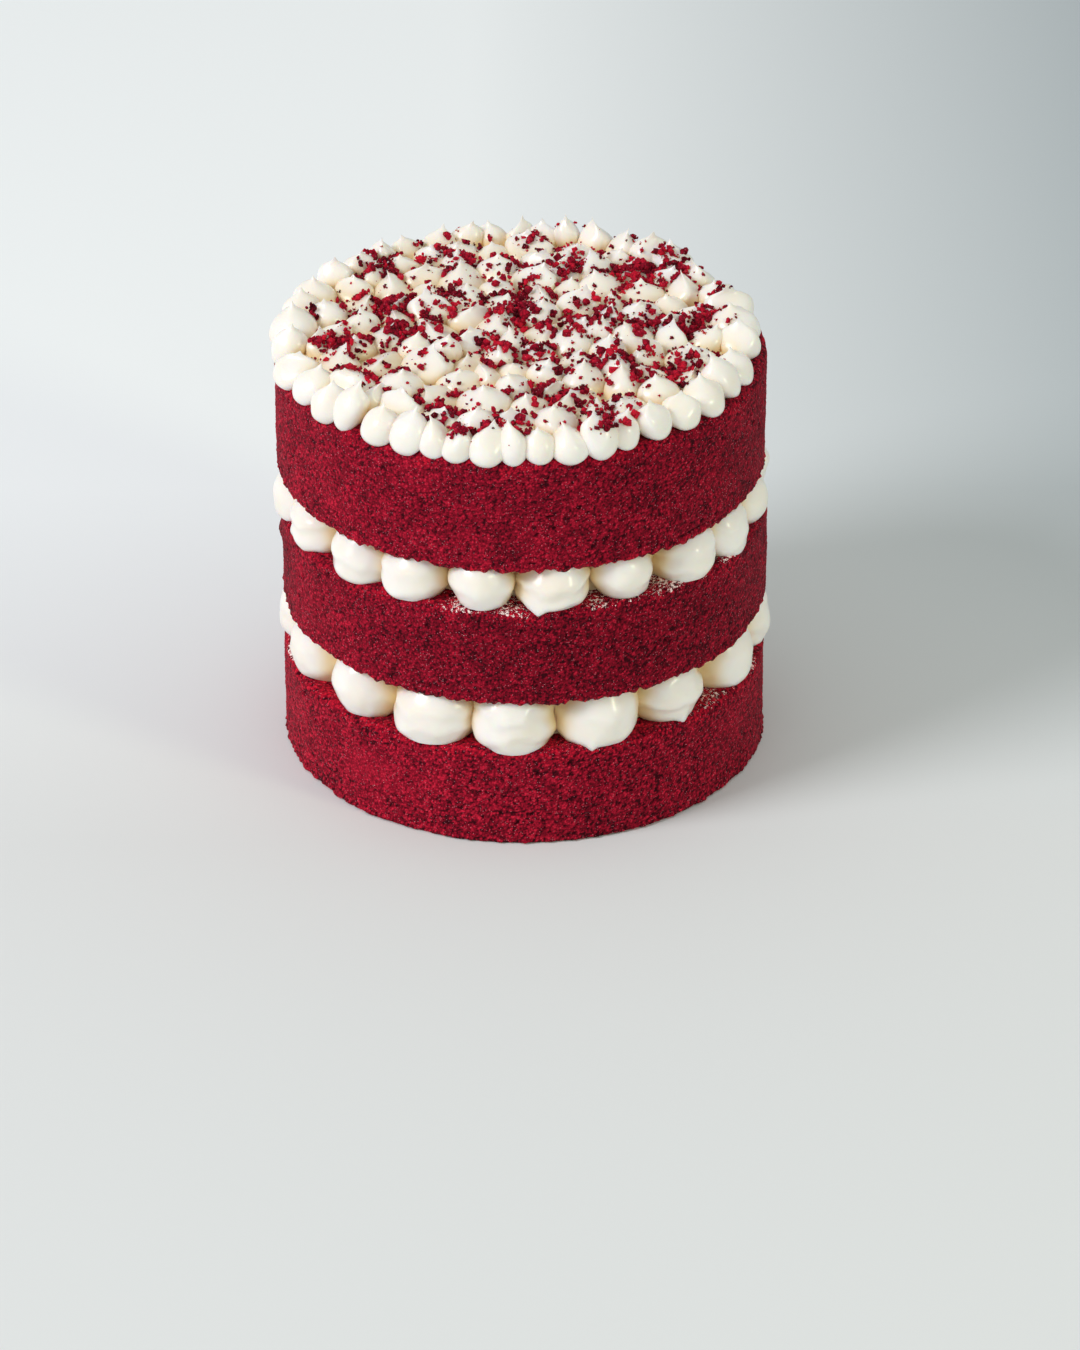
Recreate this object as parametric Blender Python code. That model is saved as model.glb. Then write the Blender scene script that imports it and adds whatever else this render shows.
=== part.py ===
"""A round naked cake: three sponge layers, two fillings piped in large dollops, and a top piped all over with
small kisses of cream under sponge crumbs. Metres, +Z up, with the origin where the lowest layer's middle rests."""

import math
import random

import bmesh
import bpy
from mathutils import Vector, noise
from mathutils.bvhtree import BVHTree

# Sponge layers, each with its height and the place of its middle, from the lowest to the highest
SPONGE_RADIUS = 0.100
SPONGE_HEIGHTS = (0.044, 0.043, 0.050)
SPONGE_SHIFTS = ((0.0, 0.0), (0.0001, -0.0006), (-0.0012, -0.0003))
SPONGE_SIDES = 44
SPONGE_WALL_RINGS = (0.5,)
SPONGE_TOP_ROUND = 0.0032
SPONGE_FOOT_ROUND = 0.0012
SPONGE_UNEVEN = 0.0009
SPONGE_UNEVEN_SPAN = 0.035
SPONGE_NOISE_STEP = 9.0

# Fillings, each a ring of dollops round a core, from the lower to the upper
FILLING_HEIGHTS = (0.022, 0.018)
DOLLOP_COUNTS = (16, 20)
DOLLOP_STARTS = (-0.033, 0.137)
DOLLOP_SEEDS = (7, 8)
DOLLOP_REACH = 0.1025
DOLLOP_SIDES = 11
DOLLOP_OVERLAP = 1.03
DOLLOP_SIZES = (0.95, 1.06)
DOLLOP_DRIFT = 0.07
DOLLOP_STRAY = (-0.0014, 0.0012)
DOLLOP_OUTLINE = ((0.0, 0.82), (0.28, 0.99), (0.66, 0.98), (1.0, 0.78))
CORE_INSET = 0.015
CORE_SIDES = 32

# Kisses piped over the top, a little off its middle: a rim row whose tips are drawn inwards, and a packed field
PIPING_SHIFT = (-0.0030, -0.0044)
KISS_SEED = 7
RIM_KISSES = 42
RIM_RADIUS = 0.0910
RIM_KISS_SIZES = (0.0064, 0.0088)
RIM_KISS_HEIGHTS = (0.0128, 0.0186)
RIM_KISS_PULL = (-0.0014, 0.0040)
RIM_KISS_SWAY = 0.0032
RIM_KISS_DRIFT = 0.16
RIM_KISS_STRAY = 0.0011
RIM_KISS_BUNCHING = 0.1
FIELD_KISSES = 97
FIELD_SPREAD = 0.0845
FIELD_RADIUS = 0.0785
FIELD_KISS_SIZES = (0.0070, 0.0104)
FIELD_KISS_HEIGHTS = (0.0110, 0.0168)
FIELD_KISS_PULL = 0.0060
FIELD_KISS_STRAY = 0.002
LARGE_KISS_EVERY = 16
LARGE_KISS_SIZE = 0.0112
PACKING_ROUNDS = 80
PACKING_CLOSENESS = 0.97
PACKING_PUSH = 0.3
KISS_SIDES = 7
RIM_KISS_OUTLINE = ((0.0, 0.78), (0.20, 1.0), (0.50, 0.94), (0.78, 0.46), (1.0, 0.0))
FIELD_KISS_OUTLINE = ((0.0, 1.0), (0.45, 0.93), (0.76, 0.50), (1.0, 0.0))
SMEAR_RADIUS = 0.0885
SMEAR_THICKNESS = 0.0036
SMEAR_SIDES = 36

# Clumps of sponge crumb scattered on the kisses
CRUMB_PLACE_SEED = 57
CRUMB_SHAPE_SEED = 97
CRUMB_CLUMPS = 28
CRUMB_FIELD_RADIUS = 0.082
CRUMB_START = 1.0
CRUMB_STRAY = 0.004
CRUMB_SIZES = (0.0014, 0.0025)
CRUMB_KNOBS = (0.75, 1.2)
CRUMB_SUNK = 0.25

# Turn between one thing and the next where they are laid out as a sunflower head
GOLDEN_ANGLE = math.pi * (3 - math.sqrt(5))

# Clearance between neighbouring bodies, and the distance within which points of one body are merged
GAP = 0.0003
MERGE = 0.00001

# Heights of the faces between the bodies
CREAM_BASES = (SPONGE_HEIGHTS[0], sum(SPONGE_HEIGHTS[:2]) + FILLING_HEIGHTS[0])
SPONGE_BASES = (0.0, CREAM_BASES[0] + FILLING_HEIGHTS[0], CREAM_BASES[1] + FILLING_HEIGHTS[1])
TOP_FACE = SPONGE_BASES[2] + SPONGE_HEIGHTS[2]


def clear_scene():
    for obj in list(bpy.data.objects):
        bpy.data.objects.remove(obj)


def material(name, colour, roughness):
    made = bpy.data.materials.new(name)
    made.use_nodes = True
    shader = made.node_tree.nodes["Principled BSDF"]
    shader.inputs["Base Color"].default_value = (*colour, 1.0)
    shader.inputs["Roughness"].default_value = roughness
    shader.inputs["Metallic"].default_value = 0.0
    return made


def add_object(name, bm, finish):
    """A scene object that holds the bmesh, which is freed."""
    bmesh.ops.remove_doubles(bm, verts=bm.verts, dist=MERGE)
    bmesh.ops.recalc_face_normals(bm, faces=bm.faces)
    mesh = bpy.data.meshes.new(name)
    bm.to_mesh(mesh)
    bm.free()
    mesh.materials.append(finish)
    obj = bpy.data.objects.new(name, mesh)
    bpy.context.scene.collection.objects.link(obj)
    return obj


def turned(outline, sides):
    """A bmesh turned about Z from (radius, height) points that start and end on the axis."""
    bm = bmesh.new()
    points = [bm.verts.new((radius, 0.0, height)) for radius, height in outline]
    edges = [bm.edges.new(pair) for pair in zip(points, points[1:])]
    bmesh.ops.spin(
        bm,
        geom=points + edges,
        cent=(0, 0, 0),
        axis=(0, 0, 1),
        angle=2 * math.pi,
        steps=sides,
        use_merge=True,
    )
    bmesh.ops.remove_doubles(bm, verts=bm.verts, dist=MERGE)
    return bm


def fill_hollows(mesh):
    """Keeps only a mesh's largest shell, so that hollows which the joining sealed are solid."""
    bm = bmesh.new()
    bm.from_mesh(mesh)
    left = set(bm.faces)
    shells = []
    while left:
        shell = set()
        edge_of_shell = [left.pop()]
        while edge_of_shell:
            face = edge_of_shell.pop()
            shell.add(face)
            near = {other for edge in face.edges for other in edge.link_faces} & left
            left -= near
            edge_of_shell += near
        shells.append(shell)
    shells.sort(key=len)
    sealed = [face for shell in shells[:-1] for face in shell]
    bmesh.ops.delete(bm, geom=sealed, context="FACES")
    bm.to_mesh(mesh)
    bm.free()


def fused(body, others):
    """Joins bodies that overlap into the first one, and removes the others."""
    pieces = bpy.data.collections.new(body.name + "_pieces")
    bpy.context.scene.collection.children.link(pieces)
    for other in others:
        pieces.objects.link(other)
    join = body.modifiers.new("join", "BOOLEAN")
    join.operation = "UNION"
    join.solver = "MANIFOLD"
    join.operand_type = "COLLECTION"
    join.collection = pieces
    bpy.context.view_layer.update()
    graph = bpy.context.evaluated_depsgraph_get()
    whole = bpy.data.meshes.new_from_object(body.evaluated_get(graph))
    body.modifiers.clear()
    fill_hollows(whole)
    body.data = whole
    for other in others:
        bpy.data.objects.remove(other)
    bpy.data.collections.remove(pieces)
    return body


def sponge(name, number, finish):
    """One sponge layer: a straight-sided round with a softly rounded top edge and a slightly uneven wall."""
    height = SPONGE_HEIGHTS[number]
    foot = SPONGE_FOOT_ROUND
    shoulder = SPONGE_TOP_ROUND
    corner = shoulder * (1 - math.cos(math.pi / 4))
    outline = [(0.0, 0.0), (SPONGE_RADIUS - foot, 0.0), (SPONGE_RADIUS, foot)]
    outline += [(SPONGE_RADIUS, height * level) for level in SPONGE_WALL_RINGS]
    outline += [
        (SPONGE_RADIUS, height - shoulder),
        (SPONGE_RADIUS - corner, height - corner),
        (SPONGE_RADIUS - shoulder, height),
        (0.0, height),
    ]
    bm = turned(outline, SPONGE_SIDES)
    for vert in bm.verts:
        radius = math.hypot(vert.co.x, vert.co.y)
        if radius > 0:
            place = vert.co / SPONGE_UNEVEN_SPAN + Vector((number * SPONGE_NOISE_STEP, 0.0, 0.0))
            grown = 1 + noise.noise(place) * SPONGE_UNEVEN / radius
            vert.co.x *= grown
            vert.co.y *= grown
    obj = add_object(name, bm, finish)
    obj.location = (*SPONGE_SHIFTS[number], SPONGE_BASES[number])
    return obj


def dollops(number):
    """(angle, distance out, half width) of each dollop in a filling's ring."""
    rng = random.Random(DOLLOP_SEEDS[number])
    count = DOLLOP_COUNTS[number]
    middle_radius = DOLLOP_REACH / (1 + math.pi / count * DOLLOP_OVERLAP)
    even_width = middle_radius * math.pi / count * DOLLOP_OVERLAP
    for index in range(count):
        step = index + rng.uniform(-DOLLOP_DRIFT, DOLLOP_DRIFT)
        half_width = even_width * rng.uniform(*DOLLOP_SIZES)
        distance = DOLLOP_REACH - half_width + rng.uniform(*DOLLOP_STRAY)
        yield DOLLOP_STARTS[number] + 2 * math.pi * step / count, distance, half_width


def filling(name, number, finish):
    """A filling: a core that runs through the cake and a ring of dollops pressed flat above and below."""
    height = FILLING_HEIGHTS[number] - 2 * GAP
    base = CREAM_BASES[number] + GAP
    core_radius = DOLLOP_REACH - CORE_INSET
    core = turned([(0, 0), (core_radius, 0), (core_radius, height), (0, height)], CORE_SIDES)
    body = add_object(name, core, finish)
    body.location.z = base
    pieces = []
    for angle, distance, half_width in dollops(number):
        outline = [(0.0, 0.0)]
        outline += [(half_width * share, height * level) for level, share in DOLLOP_OUTLINE]
        outline += [(0.0, height)]
        piece = add_object("dollop", turned(outline, DOLLOP_SIDES), finish)
        piece.location = (distance * math.sin(angle), -distance * math.cos(angle), base)
        piece.rotation_euler.z = angle
        pieces.append(piece)
    return fused(body, pieces)


def rim_kisses(rng):
    """[place, radius, height, pull of the tip, outline] of each kiss in the rim row, smaller and closer together
    at the front and the back."""
    kisses = []
    for index in range(RIM_KISSES):
        even = 2 * math.pi * (index + rng.uniform(-RIM_KISS_DRIFT, RIM_KISS_DRIFT)) / RIM_KISSES
        angle = even - RIM_KISS_BUNCHING * math.sin(2 * even)
        out = Vector((math.sin(angle), -math.cos(angle)))
        radius = rng.uniform(*RIM_KISS_SIZES) * (1 - RIM_KISS_BUNCHING * math.cos(2 * even))
        height = rng.uniform(*RIM_KISS_HEIGHTS)
        sideways = Vector((-out.y, out.x)) * rng.uniform(-RIM_KISS_SWAY, RIM_KISS_SWAY)
        place = out * (RIM_RADIUS + rng.uniform(-RIM_KISS_STRAY, RIM_KISS_STRAY))
        pull = sideways - out * rng.uniform(*RIM_KISS_PULL)
        kisses.append([place, radius, height, pull, RIM_KISS_OUTLINE])
    return kisses


def field_kisses(rng):
    """[place, radius, height, pull, outline] of the kisses inside the rim row, laid out as a sunflower head."""
    kisses = []
    for index in range(FIELD_KISSES):
        distance = FIELD_SPREAD * math.sqrt((index + 0.5) / FIELD_KISSES)
        turn = index * GOLDEN_ANGLE
        place = Vector((math.cos(turn), math.sin(turn))) * distance
        place.x += rng.uniform(-FIELD_KISS_STRAY, FIELD_KISS_STRAY)
        place.y += rng.uniform(-FIELD_KISS_STRAY, FIELD_KISS_STRAY)
        radius = rng.uniform(*FIELD_KISS_SIZES)
        if index % LARGE_KISS_EVERY == 1:
            radius = LARGE_KISS_SIZE
        height = rng.uniform(*FIELD_KISS_HEIGHTS)
        heading = rng.uniform(0, 2 * math.pi)
        pull = Vector((math.cos(heading), math.sin(heading))) * FIELD_KISS_PULL * rng.random()
        kisses.append([place, radius, height, pull, FIELD_KISS_OUTLINE])
    return kisses


def packed_kisses():
    """All the kisses, with those inside the rim row pushed apart until they lie evenly close."""
    rng = random.Random(KISS_SEED)
    rim = rim_kisses(rng)
    field = field_kisses(rng)
    for _ in range(PACKING_ROUNDS):
        for kiss in field:
            push = Vector((0.0, 0.0))
            for other in rim + field:
                apart = kiss[0] - other[0]
                overlap = (kiss[1] + other[1]) * PACKING_CLOSENESS - apart.length
                if other is not kiss and overlap > 0:
                    push += apart.normalized() * overlap * PACKING_PUSH
            kiss[0] = kiss[0] + push
            if kiss[0].length > FIELD_RADIUS:
                kiss[0] = kiss[0].normalized() * FIELD_RADIUS
    return rim + field


def kiss_body(kiss, middle, finish):
    """One kiss: a bulb drawn up to a tip that leans by its pull."""
    place, radius, height, pull, shape = kiss
    outline = [(0.0, 0.0)]
    outline += [(radius * share, height * level) for level, share in shape]
    bm = turned(outline, KISS_SIDES)
    for vert in bm.verts:
        bend = (vert.co.z / height) ** 2
        vert.co.x += pull.x * bend
        vert.co.y += pull.y * bend
    obj = add_object("kiss", bm, finish)
    obj.location = middle + Vector((place.x, place.y, 0.0))
    return obj


def crumb_clumps():
    """(x, y, half size) of each clump of crumb, strewn over the whole top."""
    rng = random.Random(CRUMB_PLACE_SEED)
    for index in range(CRUMB_CLUMPS):
        distance = CRUMB_FIELD_RADIUS * math.sqrt((index + 0.5) / CRUMB_CLUMPS)
        angle = CRUMB_START + index * GOLDEN_ANGLE
        x = distance * math.cos(angle) + rng.uniform(-CRUMB_STRAY, CRUMB_STRAY)
        y = distance * math.sin(angle) + rng.uniform(-CRUMB_STRAY, CRUMB_STRAY)
        yield x, y, rng.uniform(*CRUMB_SIZES)


def crumb_body(place, size, rng, finish):
    """A clump of crumb as a knobbly lump."""
    bm = bmesh.new()
    bmesh.ops.create_icosphere(bm, subdivisions=1, radius=size)
    for vert in bm.verts:
        vert.co *= rng.uniform(*CRUMB_KNOBS)
    obj = add_object("crumb", bm, finish)
    obj.location = place
    return obj


def topping(name, finish):
    """The piped top: a smear of cream, the kisses on it, and clumps of crumb on those."""
    middle = Vector((*PIPING_SHIFT, TOP_FACE + GAP))
    smear = [(0, 0), (SMEAR_RADIUS, 0), (SMEAR_RADIUS, SMEAR_THICKNESS), (0, SMEAR_THICKNESS)]
    body = add_object(name, turned(smear, SMEAR_SIDES), finish)
    body.location = middle
    fused(body, [kiss_body(kiss, middle, finish) for kiss in packed_kisses()])
    cream = BVHTree.FromPolygons(
        [body.location + vert.co for vert in body.data.vertices],
        [face.vertices for face in body.data.polygons],
    )
    rng = random.Random(CRUMB_SHAPE_SEED)
    crumbs = []
    for x, y, size in crumb_clumps():
        above = middle + Vector((x, y, SPONGE_RADIUS))
        hit, normal, _, _ = cream.ray_cast(above, Vector((0, 0, -1)))
        crumbs.append(crumb_body(hit + normal * size * CRUMB_SUNK, size, rng, finish))
    return fused(body, crumbs)


def main():
    clear_scene()
    red_sponge = material("red_sponge", (0.165, 0.006, 0.016), 0.85)
    cream = material("cream_cheese_cream", (0.88, 0.84, 0.72), 0.38)
    sponge("sponge_bottom", 0, red_sponge)
    filling("cream_lower", 0, cream)
    sponge("sponge_middle", 1, red_sponge)
    filling("cream_upper", 1, cream)
    sponge("sponge_top", 2, red_sponge)
    topping("piped_top", cream)


main()
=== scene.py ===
"""The looks of a naked cake: red sponge layers with an open crumb, fillings piped in dollops, and a top
piped all over with small kisses of cream under sponge crumbs. Metres, +Z up, -Y towards the camera."""

import math
import random

import bmesh
import bpy
import numpy as np
from mathutils import Matrix, Vector, noise
from mathutils.bvhtree import BVHTree


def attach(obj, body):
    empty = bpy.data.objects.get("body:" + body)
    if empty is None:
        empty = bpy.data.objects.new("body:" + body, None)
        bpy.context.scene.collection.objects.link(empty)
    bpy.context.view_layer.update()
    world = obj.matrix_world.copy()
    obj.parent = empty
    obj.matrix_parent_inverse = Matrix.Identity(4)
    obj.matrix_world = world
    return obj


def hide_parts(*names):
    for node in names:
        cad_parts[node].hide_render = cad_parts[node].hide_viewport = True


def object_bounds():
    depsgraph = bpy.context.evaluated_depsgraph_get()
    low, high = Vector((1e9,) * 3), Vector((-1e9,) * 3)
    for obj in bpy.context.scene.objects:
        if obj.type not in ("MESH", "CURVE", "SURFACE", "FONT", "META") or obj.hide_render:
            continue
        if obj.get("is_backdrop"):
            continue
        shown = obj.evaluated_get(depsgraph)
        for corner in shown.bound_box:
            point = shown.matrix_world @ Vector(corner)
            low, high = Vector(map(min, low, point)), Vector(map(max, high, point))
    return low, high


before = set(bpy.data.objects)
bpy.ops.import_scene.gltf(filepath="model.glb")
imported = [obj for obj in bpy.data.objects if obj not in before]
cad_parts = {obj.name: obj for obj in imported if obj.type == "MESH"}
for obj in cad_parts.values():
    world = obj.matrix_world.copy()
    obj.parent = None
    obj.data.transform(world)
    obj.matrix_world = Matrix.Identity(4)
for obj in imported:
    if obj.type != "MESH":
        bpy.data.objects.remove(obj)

CAD_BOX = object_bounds()

# Camera, as the photograph was taken
CAMERA_PLACE = (0.00896, -2.3163, 1.3869)
CAMERA_DOWN = math.radians(30.53)
CAMERA_ROLL = math.radians(0.1)
CAMERA_LENS = 171.07
CAMERA_SENSOR = 36.0
CAMERA_REACH = 20.0

# Sponge layers, each with its height and the place of its middle, from the lowest to the highest
SPONGE_NODES = ("sponge_bottom", "sponge_middle", "sponge_top")
SPONGE_RADIUS = 0.100
SPONGE_HEIGHTS = (0.044, 0.043, 0.050)
SPONGE_SHIFTS = ((0.0, 0.0), (0.0001, -0.0006), (-0.0012, -0.0003))
SPONGE_TOP_ROUND = 0.0032
SPONGE_FOOT_ROUND = 0.0012
SPONGE_UNEVEN = 0.0009
SPONGE_UNEVEN_SPAN = 0.035
SPONGE_NOISE_STEP = 9.0
SPONGE_STEPS = 900
SPONGE_RING = 0.0007
SPONGE_ROUND_RINGS = 6
SPONGE_HIDDEN_INSET = 0.0130
SPONGE_HIDDEN_BLEND = 0.002

# Relief of the sponge's wall, each as (size of a form, how far it stands in or out)
SPONGE_LUMPS = (0.0065, 0.00030)
SPONGE_GRAINS = (0.0014, 0.00050)
SPONGE_FINE_GRAINS = (0.0009, 0.00022)
SPONGE_PITS = (0.0026, 0.00080)
SPONGE_GRAIN_LEVEL = 0.42
SPONGE_PIT_SHARES = (0.34, 0.75)
SPONGE_PIT_SHIFT = (3.3, 7.1, 1.9)

# Torn lower edges and the lighter crumb at them, and painted bounce light in a band along the upper edges
TORN_FOOT_HEIGHT = 0.0026
TORN_FOOT_BULGES = (0.0018, 0.0014, 0.0014)
TORN_FOOT_FULLNESS = 0.25
TORN_FOOT_BITE = 0.0024
TORN_FOOT_BITE_START = 0.1
TORN_FOOT_SPAN = 0.0032
TORN_FOOT_SHARE = 0.75
TORN_FOOT_FULL = 0.6
BOUNCE_BAND_HEIGHT = 0.0060
BOUNCE_BAND_END = 0.0015
BOUNCE_BAND_STRAY = 0.0045
BOUNCE_BAND_SHARE = 0.6
PATCH_SPAN = 0.011

# How much lighter a layer is baked, how strong its grain is, and how much painted light lightens its left
# side
SPONGE_TONES = (0.06, -0.03, 0.0)
SPONGE_CONTRASTS = (1.0, 0.75, 0.75)
SPONGE_PAINTED_SIDE_LIGHT = 0.06

# How light the middle tone is, how much lighter a fine grain is, and how much painted shade darkens a pit
SPONGE_MIDDLE_TONE = 0.5
SPONGE_FINE_TONE = 0.6
SPONGE_PIT_PAINTED_SHADE = 0.4

# Pressed, dented or split places: (layer, degrees, height, half width, half height, out, lighter, smoother)
SPONGE_MARKS = (
    (0, -38, 0.021, 0.017, 0.012, 0.0, 0.07, 0.75),
    (1, -86, 0.030, 0.0040, 0.0030, 0.0013, -0.12, 0.0),
    (1, -82, 0.025, 0.0150, 0.0150, 0.0, -0.15, 0.3),
    (1, -62, 0.022, 0.0200, 0.0160, 0.0, 0.08, 0.2),
    (1, 2, 0.022, 0.0450, 0.0180, 0.0, -0.05, 0.0),
    # The dent and the split below are painted darker: painted shade in them
    (1, 35, 0.020, 0.0012, 0.0010, -0.0016, -0.40, 0.0),
    (2, 44, 0.0036, 0.0100, 0.0006, -0.0014, -0.35, 0.0),
    (2, 62, 0.020, 0.0140, 0.0120, 0.0, -0.05, 0.5),
    (0, 58, 0.026, 0.0120, 0.0100, 0.0, 0.04, 0.6),
    (1, 142, 0.018, 0.0120, 0.0100, 0.0, 0.05, 0.6),
    (0, -150, 0.020, 0.0160, 0.0120, 0.0, 0.05, 0.6),
)

# Cream wiped along a layer's top edge: (layer, degrees, half width in degrees, strength)
CREAM_WIPES = (
    (1, 40, 11, 1.0), (1, 27, 5, 0.7), (1, -4, 9, 0.8), (1, -24, 5, 0.4), (1, 58, 6, 0.9),
    (1, -80, 7, 1.0), (1, 150, 10, 0.7), (1, -140, 9, 0.6), (1, 105, 6, 0.6), (1, -14, 6, 0.9),
    (1, 18, 5, 0.8), (0, 16, 9, 0.5), (0, 54, 8, 0.8), (0, -22, 6, 0.5), (0, -78, 8, 1.0),
    (0, 72, 5, 0.8), (0, 165, 10, 0.6), (0, -120, 7, 0.6),
)
WIPE_HEIGHT = 0.0030
WIPE_END = 0.0006
WIPE_STRAY = 0.0022

# Fillings, each a ring of dollops round a core, from the lower to the upper
FILLING_NODES = ("cream_lower", "cream_upper")
FILLING_HEIGHTS = (0.022, 0.018)
DOLLOP_COUNTS = (16, 20)
DOLLOP_STARTS = (-0.033, 0.137)
DOLLOP_SEEDS = (7, 8)
DOLLOP_REACH = 0.1025
DOLLOP_OVERLAP = 1.03
DOLLOP_SIZES = (0.95, 1.06)
DOLLOP_DRIFT = 0.07
DOLLOP_STRAY = (-0.0014, 0.0012)
DOLLOP_OUTLINE = ((0.0, 0.90), (0.14, 0.985), (0.34, 1.02), (0.62, 0.985), (0.86, 0.86), (1.0, 0.74))
DOLLOP_SHAPE_SEEDS = (21, 22)
DOLLOP_STEPS = 88
DOLLOP_RINGS = 18
DOLLOP_SAG = 0.0016
DOLLOP_SAG_SHARES = (0.3, 1.7)
DOLLOP_SAG_START = 0.1
DOLLOP_SAG_TOP = 0.55
DOLLOP_LEAN = 0.0018
DOLLOP_OVAL = 0.022
DOLLOP_LUMPS = 0.045
DOLLOP_LUMP_SPAN = 0.010
DOLLOP_DENTS = 0.014
DOLLOP_DENT_SPAN = 0.004
DOLLOP_FOLDS = (0.0001, 0.0002, 0.00035, 0.0005)
DOLLOP_FOLD_TURNS = 13
DOLLOP_FOLD_START = 0.5
DOLLOP_FOLD_WANDER = 3
DOLLOP_FOLD_SPAN = 0.009
# Distances in from the ring's edge over which painted shade grows on the cream between the dollops
DOLLOP_SHADE_DEPTHS = (0.0040, 0.0110)
CORE_INSET = 0.015
CORE_STEPS = 96

# Dollops whose foot is drawn in and hardly sags: (filling, number in the ring, how far in)
DOLLOP_TUCKS = (
    (1, 19, 0.15), (1, 1, 0.15), (1, 5, 0.10), (1, 9, 0.12), (1, 13, 0.14), (0, 14, 0.11), (0, 13, 0.06),
    (0, 2, 0.10), (0, 6, 0.13), (0, 10, 0.10),
)
DOLLOP_TUCK_HEIGHT = 0.55
DOLLOP_TUCK_SAG = 0.1

# Small tails at a filling's lower edge: (filling, degrees, reach, half width)
CREAM_TAILS = (
    (1, 3, 0.0020, 0.0032), (1, -2, 0.0014, 0.0016), (1, 32, 0.0010, 0.0024), (0, -35, 0.0018, 0.0040),
    (0, -58, 0.0018, 0.0030), (0, 16, 0.0014, 0.0016), (0, 41, 0.0018, 0.0022), (0, 130, 0.0018, 0.0030),
    (0, -118, 0.0014, 0.0036), (1, 108, 0.0018, 0.0030), (1, -150, 0.0016, 0.0034),
)
CREAM_TAIL_ROOT = 0.0900
CREAM_TAIL_HEIGHT = 0.0055
CREAM_TAIL_OUT = 0.55

# Kisses piped over the top, a little off its middle: a rim row that leans inwards, and a packed field
PIPING_SHIFT = (-0.0030, -0.0044)
KISS_SEED = 7
RIM_KISSES = 42
RIM_RADIUS = 0.0910
RIM_KISS_SIZES = (0.0064, 0.0088)
RIM_KISS_HEIGHTS = (0.0128, 0.0186)
RIM_KISS_PULL = (-0.0014, 0.0040)
RIM_KISS_SWAY = 0.0032
RIM_KISS_DRIFT = 0.16
RIM_KISS_STRAY = 0.0011
RIM_KISS_BUNCHING = 0.1
FIELD_KISSES = 97
FIELD_SPREAD = 0.0845
FIELD_RADIUS = 0.0785
FIELD_KISS_SIZES = (0.0070, 0.0104)
FIELD_KISS_HEIGHTS = (0.0110, 0.0168)
FIELD_KISS_PULL = 0.0060
FIELD_KISS_STRAY = 0.002
LARGE_KISS_EVERY = 16
LARGE_KISS_SIZE = 0.0112
PACKING_ROUNDS = 80
PACKING_CLOSENESS = 0.97
PACKING_PUSH = 0.3
RIM_KISS_OUTLINE = (
    (0.0, 0.72), (0.12, 0.94), (0.28, 1.04), (0.46, 1.00),
    (0.62, 0.80), (0.75, 0.47), (0.86, 0.17), (1.0, 0.02),
)
FIELD_KISS_OUTLINE = (
    (0.0, 0.90), (0.14, 1.0), (0.32, 1.01), (0.51, 0.92),
    (0.67, 0.69), (0.79, 0.38), (0.88, 0.15), (1.0, 0.02),
)
KISS_SHAPE_SEED = 31
KISS_STEPS = 32
KISS_RINGS = 16
KISS_OVAL = 0.035
KISS_LUMPS = 0.06
KISS_LUMP_SPAN = 0.006
# Heights up the kisses over which their painted shade fades, and how softly it ends at the rim row
KISS_SHADE_HEIGHTS = (0.0035, 0.0110)
KISS_SHADE_BLEND = 0.003
SMEAR_RADIUS = 0.0885
SMEAR_THICKNESS = 0.0036
SMEAR_STEPS = 96
RIM_SAG_START = 0.0945
RIM_SAG_SPAN = 0.0060
RIM_SAG = 0.0026
RIM_SAG_LEVELS = (0.1, 0.9)

# Ridges on the kisses, their flattening to a sail and their curled tips, each with the levels it grows over
KISS_RIDGES = (0.0, 0.15, 0.3, 0.45)
KISS_RIDGE_WIDTH = 0.30
KISS_RIDGE_LEVELS = (0.3, 0.8)
KISS_FLATNESS = (0.0, 0.1, 0.25, 0.45, 0.65)
KISS_FLAT_LEVELS = (0.25, 0.85)
KISS_WIDENING = 0.5
KISS_CURL = 0.0022
KISS_CURL_LEVELS = (0.7, 1.0)

# Clumps of sponge crumb scattered on the kisses
CRUMB_PLACE_SEED = 57
CRUMB_CLUMPS = 28
CRUMB_FIELD_RADIUS = 0.082
CRUMB_START = 1.0
CRUMB_STRAY = 0.004
CRUMB_SIZES = (0.0014, 0.0025)
CRUMB_SUNK = 0.25

# Drifts of finer crumb, each as the place of its middle, its spread and its number of crumbs
CRUMB_DRIFT_SEED = 5
CRUMB_DRIFTS = (
    (-0.058, 0.022, 0.008, 36), (-0.050, -0.008, 0.008, 28), (-0.077, -0.016, 0.006, 24),
    (-0.066, -0.044, 0.005, 10), (-0.034, -0.072, 0.006, 20), (-0.035, 0.060, 0.008, 18),
    (-0.061, 0.052, 0.008, 14), (-0.006, 0.009, 0.009, 26), (0.002, 0.076, 0.005, 12),
    (-0.006, 0.057, 0.006, 14), (0.016, 0.055, 0.007, 26), (0.046, 0.050, 0.008, 32),
    (0.058, 0.047, 0.006, 18), (0.024, 0.007, 0.009, 24), (0.045, 0.003, 0.008, 24),
    (0.065, 0.000, 0.007, 22), (0.072, 0.012, 0.004, 8), (-0.018, -0.022, 0.007, 14),
    (0.004, -0.024, 0.009, 18), (0.035, -0.032, 0.009, 32), (0.058, -0.036, 0.007, 34),
    (0.012, -0.057, 0.008, 24), (0.028, -0.080, 0.006, 26), (-0.030, 0.020, 0.010, 18),
    (-0.006, -0.080, 0.007, 10), (0.000, 0.034, 0.010, 14), (0.030, -0.094, 0.0035, 16),
    (-0.014, -0.092, 0.0035, 8), (-0.027, -0.093, 0.003, 7), (-0.002, -0.090, 0.003, 5),
)
CRUMB_DRIFT_DEPTH = 3.25
CRUMB_DRIFT_TIGHTNESS = 0.78
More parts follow.
